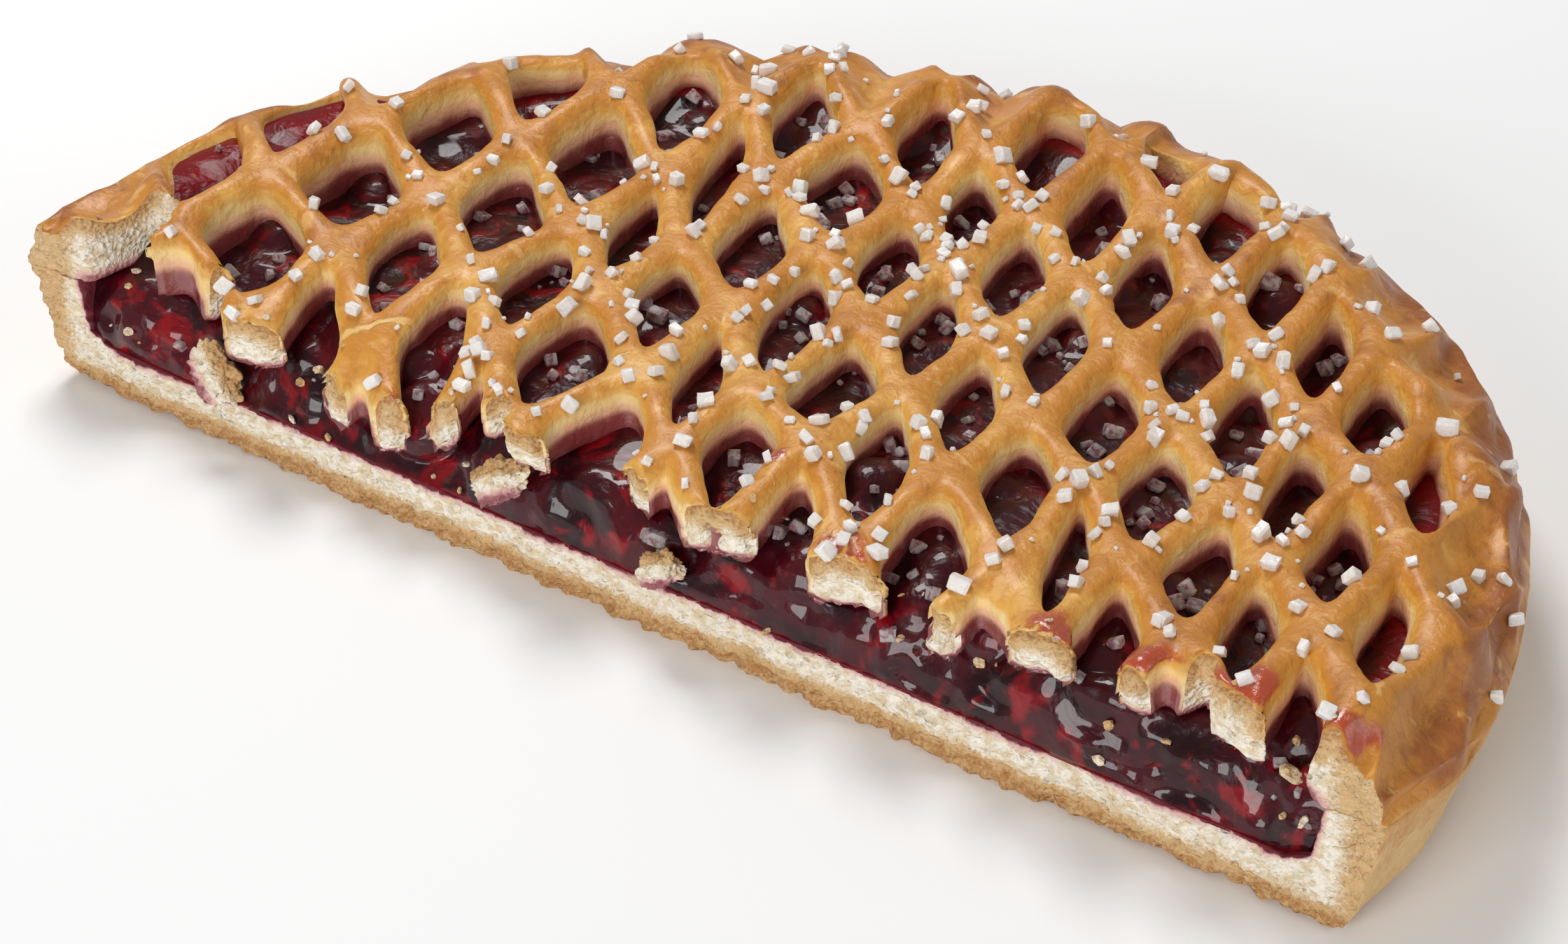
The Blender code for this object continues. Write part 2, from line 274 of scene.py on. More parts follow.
class Finish:
    """One material: its tree, its shader and the nodes that feed it."""

    def __init__(self, name):
        self.material = bpy.data.materials.new(name)
        self.material.use_nodes = True
        self.tree = self.material.node_tree
        self.shader = self.tree.nodes["Principled BSDF"]
        self.place = self.node("TexCoord", {}, {}, "Object")

    def connect(self, value, socket):
        if isinstance(value, Value):
            self.tree.links.new(value.socket, socket)
        else:
            socket.default_value = value

    def node(self, kind, settings, inputs, output=0):
        made = self.tree.nodes.new("ShaderNode" + kind)
        for name, setting in settings.items():
            if name == "stops":
                made.color_ramp.interpolation = "EASE"
                for index, (position, colour) in enumerate(setting):
                    stops = made.color_ramp.elements
                    stop = stops[index] if index < 2 else stops.new(position)
                    stop.position = position
                    stop.color = colour
            else:
                setattr(made, name, setting)
        for name, value in inputs.items():
            self.connect(value, made.inputs[name])
        return Value(self, made.outputs[output])

    def noise(self, size, detail=3.0, seed=0.0, stretch=(1.0, 1.0, 1.0), warp=0.0):
        """Noise from 0 to 1 whose lumps are about the given size in metres."""
        scale = tuple(1.0 / (size * part) for part in stretch)
        moved = self.node("Mapping", {}, {"Vector": self.place, "Location": (seed, seed * 2, seed),
                                          "Scale": scale}, "Vector")
        return self.node("TexNoise", {}, {"Vector": moved, "Scale": 1.0, "Detail": detail,
                                          "Distortion": warp}, "Fac")

    def grains(self, size, seed=0.0, stretch=(1.0, 1.0, 1.0)):
        """Distance to the nearest grain, 0 at its middle."""
        scale = tuple(1.0 / (size * part) for part in stretch)
        moved = self.node("Mapping", {}, {"Vector": self.place, "Location": (seed, seed, seed),
                                          "Scale": scale}, "Vector")
        return self.node("TexVoronoi", {}, {"Vector": moved, "Scale": 1.0}, "Distance")

    def mask(self, value, start, end):
        """0 below start, 1 above end, soft between them."""
        return self.node("MapRange", {"interpolation_type": "SMOOTHSTEP"},
                         {"Value": value, "From Min": start, "From Max": end}, "Result")

    def read(self, name):
        return self.node("Attribute", {"attribute_name": name}, {}, "Fac")

    def stops(self, value, *colours):
        return self.node("ValToRGB", {"stops": colours}, {"Fac": value}, "Color")

    def mix(self, share, first, second):
        return self.node("Mix", {"data_type": "RGBA"}, {0: share, 6: first, 7: second}, 2)

    def bump(self, height, depth, below=None):
        """Relief whose full height is depth metres; below is relief that lies under it."""
        inputs = {"Height": height, "Distance": depth, "Strength": 1.0}
        if below is not None:
            inputs["Normal"] = below
        return self.node("Bump", {}, inputs, "Normal")

    def wear(self, **inputs):
        for name, value in inputs.items():
            self.connect(value, self.shader.inputs[name.replace("_", " ")])


def shade(red, green, blue):
    """A colour given as it looks, 0 to 255, in the shader's own linear values."""
    parts = []
    for part in (red, green, blue):
        part /= 255.0
        parts.append(part / 12.92 if part <= 0.04045 else ((part + 0.055) / 1.055) ** 2.4)
    return (*parts, 1.0)


# ---------------------------------------------------------------- finishes
def add_cracks(finish, cracks):
    """1 along each short crack, given by its two ends in the plane of the lid."""
    parts = finish.node("SeparateXYZ", {}, {0: finish.place}, "X")
    across = parts
    along = Value(finish, parts.socket.node.outputs["Y"])
    stray = (finish.noise(0.0035, 4.0, 3.0) - 0.5) * 0.0030
    found = None
    for (x0, y0), (x1, y1), width in cracks:
        length = math.hypot(x1 - x0, y1 - y0)
        ux, uy = (x1 - x0) / length, (y1 - y0) / length
        dx = across - x0
        dy = along - y0
        run = dx * ux + dy * uy
        off = finish.node("Math", {"operation": "ABSOLUTE"}, {0: dx * -uy + dy * ux + stray})
        middle = finish.node("Math", {"operation": "ABSOLUTE"}, {0: run - length / 2})
        line = (1 - finish.mask(off, width * 0.35, width)) * (1 - finish.mask(
            middle, length * 0.35, length * 0.55))
        found = line if found is None else found.over(line)
    return found


def baked_skin():
    """Egg-washed dough: golden on top, pale at the sides, stained where it meets the filling."""
    finish = Finish("baked_skin")
    bake = finish.read("bake")
    broad = finish.noise(0.020, 2.0, 1.0)
    mottle = finish.noise(0.0055, 4.0, 2.0)
    grain = finish.noise(0.0011, 3.0, 4.0)
    wrinkle = finish.noise(0.0026, 5.0, 6.0, warp=0.5)
    tone = bake + (broad - 0.5) * 0.75 + (mottle - 0.5) * 0.65 + (wrinkle - 0.5) * 0.35
    colour = finish.stops(
        tone / 1.8,
        (0.00, shade(250, 232, 184)), (0.20, shade(242, 210, 142)), (0.40, shade(224, 168, 78)),
        (0.58, shade(202, 132, 42)), (0.78, shade(160, 90, 31)), (1.00, shade(108, 53, 24)))
    flaky = finish.mask(finish.noise(0.0060, 6.0, 8.0, warp=0.6), 0.60, 0.70)
    flaky = flaky * finish.mask(bake, 0.45, 0.8) * 0.55
    colour = finish.mix(flaky, colour, shade(238, 190, 118))
    crack = add_cracks(finish, CRACKS)
    colour = finish.mix(crack, colour, shade(232, 186, 112))
    stain = finish.read("stain") + (mottle - 0.5) * 0.35
    colour = finish.mix(finish.mask(stain, 0.10, 0.60) * 0.65, colour, shade(226, 156, 132))
    colour = finish.mix(finish.mask(stain, 0.58, 1.02) * 0.92, colour, shade(128, 32, 50))
    jam = finish.mask(finish.read("jam") + (mottle - 0.5) * 0.8 + (grain - 0.5) * 0.3, 0.40, 0.72)
    colour = finish.mix(jam * 0.85, colour, finish.mix(mottle, shade(120, 8, 10),
                                                       shade(206, 62, 34)))
    wet = jam.over(finish.mask(stain, 0.7, 1.0))
    rough = 0.48 + (mottle - 0.5) * 0.36 + flaky * 0.25 + (1 - finish.mask(bake, 0.2, 0.7)) * 0.22
    relief = finish.bump(grain, 0.00018)
    relief = finish.bump(wrinkle, 0.00055, relief)
    relief = finish.bump(mottle + flaky * 0.3, 0.00060, relief)
    relief = finish.bump(1 - crack, 0.0004, relief)
    finish.wear(Base_Color=colour, Roughness=rough * (1 - wet * 0.75), Normal=relief,
                Coat_Weight=wet.over(finish.mask(bake, 0.55, 1.0) * 0.16), Coat_Roughness=0.22)
    return finish.material


def crust_skin():
    """The outer wall and underside: matte, light golden, finely grained."""
    finish = Finish("crust_skin")
    bake = finish.read("bake")
    broad = finish.noise(0.018, 3.0, 11.0)
    mottle = finish.noise(0.004, 5.0, 12.0)
    grain = finish.noise(0.0009, 3.0, 13.0, (1.0, 1.0, 1.6))
    tone = bake + (broad - 0.5) * 0.5 + (mottle - 0.5) * 0.5 + (grain - 0.5) * 0.6
    colour = finish.stops(
        tone / 1.6,
        (0.00, shade(242, 220, 178)), (0.30, shade(228, 190, 132)), (0.60, shade(206, 152, 90)),
        (0.85, shade(180, 122, 68)), (1.00, shade(134, 84, 44)))
    stain = finish.read("stain")
    colour = finish.mix(finish.mask(stain, 0.3, 0.9), colour, shade(120, 40, 52))
    relief = finish.bump(grain, 0.00025)
    relief = finish.bump(mottle, 0.0007, relief)
    finish.wear(Base_Color=colour, Roughness=0.62 + (mottle - 0.5) * 0.2, Normal=relief)
    return finish.material


def crumb():
    """Torn dough: cream and porous, golden towards the skin, stained towards the filling."""
    finish = Finish("crumb")
    rind = finish.read("rind")
    layers = finish.noise(0.0015, 5.0, 21.0, (1.5, 1.0, 0.9))
    fine = finish.noise(0.0006, 3.0, 22.0)
    pores = finish.grains(0.0009, 23.0, (1.4, 1.0, 1.0))
    shaded_pit = finish.mask(finish.noise(0.0016, 4.0, 24.0, (1.8, 1.0, 0.8)), 0.60, 0.76)
    colour = finish.mix(finish.mask(layers, 0.32, 0.62), shade(228, 206, 168), shade(250, 243, 228))
    # painted shade: the pits, which the relief below sinks in, are painted a darker tan
    colour = finish.mix(shaded_pit * 0.6, colour, shade(206, 166, 114))
    edge = rind + (layers - 0.5) * 1.1 + (fine - 0.5) * 1.2
    colour = finish.mix(finish.mask(edge, 0.22, 0.75), colour, shade(216, 178, 126))
    colour = finish.mix(finish.mask(edge, 0.85, 1.40), colour, shade(186, 134, 80))
    stain = finish.read("stain") + (layers - 0.5) * 0.5
    colour = finish.mix(finish.mask(stain, 0.22, 0.75) * 0.70, colour, shade(224, 158, 160))
    colour = finish.mix(finish.mask(stain, 0.65, 1.05) * 0.85, colour, shade(140, 44, 66))
    relief = finish.bump(fine, 0.0003)
    relief = finish.bump(layers - shaded_pit * 0.5 + pores * 0.7, 0.0007, relief)
    wet = finish.mask(stain, 0.75, 1.0)
    finish.wear(Base_Color=colour, Roughness=0.88 - wet * 0.6, Normal=relief)
    return finish.material


def cherry_bits(finish, stray):
    """1 over each piece of bright cherry skin that lies at the cut."""
    across = finish.node("SeparateXYZ", {}, {0: finish.place}, "X")
    height = Value(finish, across.socket.node.outputs["Z"])
    found = None
    for x, z, wide, high in CHERRY_BITS:
        side = (across - x) / wide
        rise = (height - z) / high
        bit = finish.mask(1 - side * side - rise * rise + (stray - 0.5) * 2.8, 0.0, 0.8)
        found = bit if found is None else found.over(bit)
    return found


def cherry_syrup():
    """Thickened cherry syrup with fruit in it: nearly black red, brighter where it is thin."""
    finish = Finish("cherry_syrup")
    thin = finish.read("thin")
    fruit = finish.read("fruit")
    broad = finish.noise(0.011, 3.0, 31.0, warp=0.8)
    swirl = finish.noise(0.0070, 3.0, 32.0, warp=0.6)
    fibre = finish.noise(0.0012, 3.0, 33.0)
    shreds = finish.mask(finish.noise(0.0050, 3.0, 35.0, warp=0.3), 0.60, 0.76)
    shreds = shreds * finish.read("front")
    bits = cherry_bits(finish, swirl) * finish.read("front")
    colour = finish.mix(finish.mask(broad, 0.36, 0.64), shade(36, 3, 10), shade(74, 6, 18))
    colour = finish.mix(finish.mask(swirl, 0.56, 0.72) * 0.8, colour, shade(150, 8, 20))
    colour = finish.mix(finish.mask(fruit, 0.2, 0.9) * 0.5, colour, shade(70, 8, 20))
    colour = finish.mix(shreds * 0.75, colour, shade(150, 12, 24))
    colour = finish.mix(bits * 0.85, colour, finish.mix(fibre, shade(96, 4, 14),
                                                       shade(176, 18, 30)))
    edge = finish.mask(thin + (swirl - 0.5) * 0.8, 0.45, 1.0)
    colour = finish.mix(edge * 0.8, colour, shade(132, 4, 14))
    skin = finish.mask(finish.noise(0.003, 5.0, 34.0), 0.58, 0.72) * finish.mask(fruit, 0.4, 0.9)
    colour = finish.mix(skin * 0.35, colour, shade(150, 62, 66))
    wet = 0.46 + finish.read("front") * 0.28
    relief = finish.bump(fibre, 0.00012)
    relief = finish.bump(swirl, 0.0015, relief)
    finish.wear(Base_Color=colour, Roughness=0.26 + fibre * 0.12 + skin * 0.25, Normal=relief,
                Coat_Weight=(wet - skin * 0.3) * (1.0 - edge * 0.8), Coat_Roughness=0.05,
                Coat_IOR=1.42, Specular_IOR_Level=0.12)
    return finish.material


def sugar(name, tint, clear):
    """Coarse frosted sugar crystals; clear is how much light goes through."""
    finish = Finish(name)
    cloud = finish.noise(0.0013, 4.0, 41.0)
    colour = finish.mix(finish.mask(cloud, 0.38, 0.58), tint, shade(255, 251, 247))
    relief = finish.bump(finish.noise(0.0006, 3.0, 42.0), 0.00016)
    finish.wear(Base_Color=colour, Roughness=0.18 + cloud * 0.22, Normal=relief,
                Transmission_Weight=clear, IOR=1.45, Subsurface_Weight=0.6,
                Subsurface_Scale=0.0015, Subsurface_Radius=(1.0, 0.9, 0.8))
    return finish.material


def pale_floor():
    finish = Finish("pale_floor")
    tone = finish.noise(0.2, 2.0, 51.0)
    finish.wear(Base_Color=finish.mix(tone, shade(246, 246, 246), shade(250, 250, 250)),
                Roughness=0.85)
    return finish.material


CHERRY_BITS = (           # x, z, half width and half height
    (0.0730, 0.0165, 0.0024, 0.0048), (0.1120, 0.0150, 0.0050, 0.0022),
    (0.0180, 0.0160, 0.0045, 0.0025), (-0.0320, 0.0150, 0.0050, 0.0022),
    (-0.0560, 0.0185, 0.0035, 0.0022), (-0.1060, 0.0170, 0.0060, 0.0030),
)
CRACKS = (                # two ends in the plane of the lid, and the crack's width
    ((-0.0700, -0.0010), (-0.0590, 0.0070), 0.0010),
    ((-0.0250, 0.0140), (-0.0190, 0.0170), 0.0005),
    ((0.0120, -0.0030), (0.0180, -0.0010), 0.0005),
)


# ---------------------------------------------------------------- forms shared with the solids
def droop(x, y):
    """Drop of the broken strands near the cut."""
    depth = 0.0
    for (left, drop_left), (right, drop_right) in zip(DROOP, DROOP[1:]):
        if left <= x <= right:
            depth = drop_left + (drop_right - drop_left) * smooth((x - left) / (right - left))
    near = 1.0 - (y - CUT_Y) / DROOP_REACH
    return depth * min(1.0, max(0.0, near)) ** 1.5


def pull_in_corners(mesh):
    """Draws the wall and the lid in at the two ends of the cut."""
    points = points_of(mesh)
    x, y = points[:, 0], points[:, 1]
    reach = 1.0 - np_ramp(y, CUT_Y, CUT_Y + CORNER_REACH)
    outside = np_ramp(np.abs(x), FILLING_RADIUS + 0.002, RADIUS)
    pull = CORNER_PULL * reach * outside * np.where(x > 0, 1.0, 0.4)
    points[:, 0] = x - np.sign(x) * pull
    place_points(mesh, points)


def wall_inner(height):
    """Radius of the wall's inner face, which is hollowed out where it meets the base."""
    hollow = 0.0025
    if height < BASE_HEIGHT + hollow:
        return FILLING_RADIUS - 0.006 + 0.0045 * (height - BASE_HEIGHT) / hollow
    part = (height - BASE_HEIGHT - hollow) / (WALL_TOP - BASE_HEIGHT - hollow)
    return FILLING_RADIUS - 0.0015 * (1.0 - part)


def cutting_block(name, step, low, high, broken_face):
    """A block in front of the cut; broken_face(x, z) gives the place of its rough back."""
    half = RADIUS + 0.012
    bm = bmesh.new()
    columns = round(2 * half / step)
    rows = round((high - low) / step)
    bmesh.ops.create_grid(bm, x_segments=columns, y_segments=rows, size=0.5)
    for vertex in bm.verts:
        x = vertex.co.x * 2 * half
        z = low + (vertex.co.y + 0.5) * (high - low)
        vertex.co = (x, broken_face(x, z), z)
    for face in bm.faces:
        face.material_index = 1
    rim = [edge for edge in bm.edges if edge.is_boundary]
    drawn = bmesh.ops.extrude_edge_only(bm, edges=rim)["geom"]
    outer = [part for part in drawn if isinstance(part, bmesh.types.BMVert)]
    for vertex in outer:
        vertex.co.y = -RADIUS - 0.02
    bmesh.ops.holes_fill(bm, edges=[e for e in bm.edges if e.is_boundary], sides=0)
    turn_outward(bm)
    return new_piece(name, mesh_from(bm, name))


def break_off(piece, block, name):
    """Cuts the piece with the block and returns the finished mesh; the torn faces are slot 1."""
    for material in piece.data.materials:
        block.data.materials.append(material)
    boolean = piece.modifiers.new("cut", "BOOLEAN")
    boolean.operation = "DIFFERENCE"
    boolean.solver = "MANIFOLD"
    boolean.object = block
    mesh = settled_mesh(piece, name)
    bpy.data.objects.remove(block, do_unlink=True)
    return mesh


def torn_points(mesh):
    """For every vertex, whether it lies on a torn face, and its distance from the skin."""
    torn = np.zeros(len(mesh.vertices), dtype=bool)
    skin = np.zeros(len(mesh.vertices), dtype=bool)
    for face in mesh.polygons:
        side = torn if face.material_index == 1 else skin
        for index in face.vertices:
            side[index] = True
    points = points_of(mesh)
    near = [i for i in np.nonzero(skin)[0] if points[i, 1] < CUT_Y + 0.014]
    tree = KDTree(len(near))
    for index in near:
        tree.insert(points[index], int(index))
    tree.balance()
    away = np.zeros(len(points))
    for index in np.nonzero(torn & ~skin)[0]:
        away[index] = tree.find(points[index])[2]
    return torn, away


def smooth_skin(mesh):
    for face in mesh.polygons:
        face.use_smooth = True


# ---------------------------------------------------------------- crust
def wall_outline():
    """The crust's section from the inside of the wall round to the middle of the underside."""
    foot = 0.008
    outline = [(FILLING_RADIUS + 0.0012 * i, WALL_TOP) for i in range(11)]
    outline += [(RADIUS - 0.0006, WALL_TOP), (RADIUS - 0.0005, 0.0210), (RADIUS - 0.0009, 0.0190)]
    outline += [(RADIUS - 0.0014, 0.0170), (RADIUS - 0.0019, 0.0150), (RADIUS - 0.0026, 0.0125)]
    for index in range(9):
        angle = math.radians(90.0 * index / 8)
        across = FOOT_RADIUS - foot + 0.003 + foot * math.cos(angle)
        outline.append((across, 0.0095 - 0.0095 * math.sin(angle)))
    outline += [(0.1265 - 0.0025 * i, 0.0) for i in range(1, 50)] + [(0.0, 0.0)]
    inside = [(0.0, BASE_HEIGHT), (0.040, BASE_HEIGHT), (0.080, BASE_HEIGHT), (0.105, BASE_HEIGHT)]
    inside += [(wall_inner(h), h) for h in (0.0100, 0.0108, 0.0125, 0.0145, 0.0170, 0.0200)]
    return outline + inside


def crust_break(x, z):
    """Place of the broken face of the crust: gently wavy, torn in flat layers, ragged below."""
    y = CUT_Y + 0.0006 * ripple(x, 0.0, 0.013, 3.0)
    y += 0.00070 * ripple(x, z * 2.4, 0.0050, 61.0) + 0.00060 * ripple(x, z * 1.5, 0.0021, 62.0)
    y += 0.00050 * ripple(x, z, 0.0010, 63.0)
    shaded_pit = ripple(x, z * 2.0, 0.0034, 64.0)
    y += 0.0022 * max(0.0, shaded_pit - 0.34)
    below = 1.0 - ramp(z, 0.0012, 0.0042)
    y += below * (0.0010 * ripple(x, z, 0.0042, 65.0) + 0.0009 * ripple(x, z, 0.0019, 66.0))
    return y


def make_crust(skin, torn_dough):
    bm = bmesh.new()
    ring = [bm.verts.new((across, 0.0, height)) for across, height in wall_outline()]
    for first, second in zip(ring, ring[1:] + ring[:1]):
        if first.co.x > 0 or second.co.x > 0:
            bm.edges.new((first, second))
    bmesh.ops.spin(bm, geom=bm.verts[:] + bm.edges[:], cent=(0, 0, 0), axis=(0, 0, 1),
                   angle=math.tau, steps=300, use_merge=True)
    bmesh.ops.remove_doubles(bm, verts=bm.verts, dist=0.00002)
    turn_outward(bm)
    piece = new_piece("crust_dough", mesh_from(bm, "crust_dough"), (skin, torn_dough))
    points = points_of(piece.data)
    across = np.hypot(points[:, 0], points[:, 1])
    outside = np_ramp(across, FOOT_RADIUS - 0.004, FOOT_RADIUS + 0.002)
    lumps = 0.0007 * unevenness(points, 0.020, 71.0) + 0.0004 * unevenness(points, 0.006, 72.0)
    lumps += 0.00022 * unevenness(points, 0.0024, 73.0) - 0.0009
    keep = 1.0 - np_ramp(points[:, 2], 0.019, 0.0215)
    scale = 1.0 + lumps * outside * keep / np.maximum(across, 0.01)
    points[:, :2] *= scale[:, None]
    below = (1.0 - np_ramp(points[:, 2], 0.001, 0.006)) * np_ramp(across, 0.060, 0.110)
    rough = 1.0 + 0.9 * unevenness(points, 0.009, 74.0) + 0.3 * unevenness(points, 0.0032, 75.0)
    points[:, 2] += below * 0.0007 * rough
    place_points(piece.data, points)
    block = cutting_block("crust_block", 0.00055, -0.002, 0.026, crust_break)
    mesh = break_off(piece, block, "crust_dough")
    keep_largest_body(mesh)
    pull_in_corners(mesh)
    points = points_of(mesh)
    torn, away = torn_points(mesh)
    x, y, z = points.T
    across = np.hypot(x, y)
    bake = 0.55 + 0.35 * np_ramp(z, 0.010, 0.022) + 0.40 * (1.0 - np_ramp(z, 0.0005, 0.004))
    inner = np.array([wall_inner(height) for height in z])
    to_filling = np.where(across < inner, z - BASE_HEIGHT + 0.0008, 0.0)
    stain = np.where(z < BASE_HEIGHT + 0.001, np.exp((z - BASE_HEIGHT) / 0.0011), 0.0)
    stain = np.where(across > 0.120, np.exp(-np.maximum(0.0, across - inner) / 0.0009), stain)
    stain = np.where((across > inner + 0.004) | (across < 0.1185) & (z < 0.006), 0.0, stain)
    stain = np.where(to_filling > 0.002, 1.0, stain)
    rind = 1.0 - np_ramp(z, 0.0020, 0.0066)
    outer = np_ramp(across, RADIUS - 0.0135, RADIUS - 0.0070)
    rind = np.maximum(rind * 1.20, outer * 0.85)
    store(mesh, "bake", np.where(torn & (away > 0), 0.5, bake))
    store(mesh, "stain", stain)
    store(mesh, "rind", rind)
    smooth_skin(mesh)
    return new_piece("crust_dough", mesh)


# ---------------------------------------------------------------- filling
def left_part(x, y):
    """1 at the left end of the pie, where the jam lies against a thin rim; 0 elsewhere."""
    return (1.0 - ramp(x, -0.108, -0.092)) * (1.0 - ramp(y, 0.056, 0.066))


def syrup_level(x, y):
    waves = 0.0009 * ripple(x, y, 0.016, 81.0) + 0.0004 * ripple(x, y, 0.005, 82.0)
    swell = SWELL * ramp(y, CUT_Y + 0.007, CUT_Y + 0.022)
    climb = CLIMB + LEFT_CLIMB * left_part(x, y)
    swell += climb * ramp(math.hypot(x, y), 0.110, 0.1235) * ramp(y, CUT_Y + 0.006, CUT_Y + 0.020)
    swell *= 1.0 - ramp(math.hypot(x, y), 0.1250, 0.1262)
    return WALL_TOP + 0.0002 + waves + swell - 1.05 * droop(x, y)


def lay_cherries(rng):
    """Middles and radii of the fruit under the surface: over the top, and along the cut."""
    fruit = []
    for _ in range(1500):
        x = rng.uniform(-0.122, 0.122)
        y = rng.uniform(0.004, 0.122)
        if math.hypot(x, y) < 0.119 and all(
                math.hypot(x - a, y - b) > 0.0125 for a, b, *_ in fruit):
            radius = rng.uniform(0.0068, 0.0085)
            fruit.append((x, y, syrup_level(x, y) - radius + rng.uniform(0.0002, 0.0030), radius))
    x = -0.112
    while x < 0.114:
        radius = rng.uniform(0.0058, 0.0080)
        height = rng.uniform(0.012, 0.017)
        fruit.append((x, CUT_Y + radius + rng.uniform(0.001, 0.0045), height, radius))
        x += rng.uniform(0.013, 0.026)
    return fruit


def make_filling(syrup):
    floor = BASE_HEIGHT - 0.0004
    reach = FILLING_RADIUS - 0.0002
    front = 0.17
    bm = bmesh.new()
    bmesh.ops.create_grid(bm, x_segments=330, y_segments=180, size=0.5)
    for vertex in bm.verts:
        along = vertex.co.y + 0.5
        level = min(1.0, along / front)
        back = max(0.0, (along - front) / (1.0 - front))
        turned = math.sin(back * 0.975 * math.pi / 2)
        start = CUT_Y + FILLING_LEAN
        y = CUT_Y + 0.0004 + FILLING_LEAN * level ** 1.3 if back == 0.0 else (
            start + 0.0004 + (reach - start) * turned)
        x = 2.0 * vertex.co.x * math.sqrt(max(0.0, reach * reach - y * y))
        top = syrup_level(x, y)
        z = floor + (top - floor) * math.sin(level * math.pi / 2) ** 0.9
        inward = 1.0 + (wall_inner(z) - 0.0001 - reach) / reach * ramp(math.hypot(x, y), 0.1, reach)
        spread = SPREAD * ramp(math.hypot(x, y), 0.114, reach) * ramp(y, CUT_Y + 0.010, CUT_Y + 0.024)
        spread *= left_part(x, y)
        inward += spread / reach * ramp(z, WALL_TOP, WALL_TOP + 0.0012)
        vertex.co = (x * inward, y * inward, z)
    rim = [edge for edge in bm.edges if edge.is_boundary]
    drawn = bmesh.ops.extrude_edge_only(bm, edges=rim)["geom"]
    for part in drawn:
        if isinstance(part, bmesh.types.BMVert):
            x, y, z = part.co
            part.co = (x * 0.97, max(y * 0.97, CUT_Y + 0.0015), floor + 0.0003)
    bmesh.ops.holes_fill(bm, edges=[e for e in bm.edges if e.is_boundary], sides=0)
    turn_outward(bm)
    mesh = mesh_from(bm, "filling")
    points = points_of(mesh)
    x, y, z = points.T
    at_front = 1.0 - np_ramp(y, CUT_Y + 0.004, CUT_Y + 0.011)
    facing = np.stack([np.zeros_like(x), -0.80 * at_front, 1.0 - 0.42 * at_front], axis=1)
    facing /= np.linalg.norm(facing, axis=1)[:, None]
    lift = 0.0022 * at_front * unevenness(points, 0.0095, 83.0, (1.4, 1.0, 0.7))
    lift += 0.0010 * at_front * unevenness(points, 0.0040, 84.0)
    fruit_share = np.zeros(len(points))
    blend = 0.0012
    for cx, cy, cz, radius in lay_cherries(random.Random(5)):
        apart = np.array((cx, cy, cz)) - points
        ahead = (apart * facing).sum(axis=1)
        aside = (apart * apart).sum(axis=1) - ahead * ahead
        inside = aside < radius * radius
        cap = ahead[inside] + np.sqrt(radius * radius - aside[inside])
        blended = np.clip(0.5 + 0.5 * (cap - lift[inside]) / blend, 0.0, 1.0)
        raised = lift[inside] * (1 - blended) + cap * blended + blend * blended * (1 - blended) / 2
        lift[inside] = np.minimum(np.maximum(raised, lift[inside]), 0.0034)
        fruit_share[inside] = np.maximum(fruit_share[inside], blended)
    across = np.hypot(x, y)
    fixed = np_ramp(z, floor, floor + 0.0022) * (1.0 - np_ramp(across, 0.1215, 0.1255))
    points = points + facing * (lift * fixed)[:, None]
    points[:, 1] = np.maximum(points[:, 1], CUT_Y - 0.0020)
    place_points(mesh, points)
    thin = np.exp(-(z - floor) / 0.0018) * at_front
    thin += 0.9 * np_ramp(across, 0.116, 0.1235) * (1.0 - at_front)
    store(mesh, "thin", thin)
    store(mesh, "front", at_front)
    store(mesh, "fruit", fruit_share)
    smooth_skin(mesh)
    return new_piece("filling", mesh, (syrup,))


# ---------------------------------------------------------------- lattice
def junction(column, row):
    place = NET_ORIGIN + column * STEP_C + row * STEP_R + column * column * CURL
    shift = PULLED.get((column, row))
    if shift is not None:
        return place + Vector(shift)
    stray_x = ripple(column * 1.7, row * 1.3, 1.0, 4.0)
    stray_y = ripple(column * 1.7, row * 1.3, 1.0, 5.0)
    return place + 2 * STRAY * Vector((stray_x, stray_y))


def crown_height(x, y):
    across = math.hypot(x, y)
    crown = LID_TOP + (RIM_TOP - LID_TOP) * ramp(across, 0.085, RIM_START)
    return crown + 0.0007 * ripple(x, y, 0.03, 6.0)


def fold_over_rim(x, y, level, dimple, lift):
    """Lays a point of the flat sheet on the pie; level runs from 0 underneath to 1 on top."""
    across = math.hypot(x, y)
    over = min(1.0, max(0.0, (across - RIM_START) / (SHEET_RADIUS - RIM_START)))
    angle = over * math.pi / 2
    wall = RADIUS - RIM_START
    up = max(0.0, math.cos(angle)) ** RIM_FULLNESS
    out = math.sin(angle) ** RIM_FULLNESS
    high = LID_FLOOR + 0.0005 + (crown_height(x, y) - LID_FLOOR - dimple + lift) * up
    reach_high = (wall - 0.5 * dimple) * out
    floor = LID_FLOOR - 0.0006 * ramp(across, RIM_START, RADIUS)
    reach_low = (wall - 0.0006) * over
    height = floor + (high - floor) * level
    reach = reach_low + (reach_high - reach_low) * level
    if across > RIM_START:
        scale = (RIM_START + reach) / across
        x, y = x * scale, y * scale
    return Vector((x, y, height - droop(x, y)))


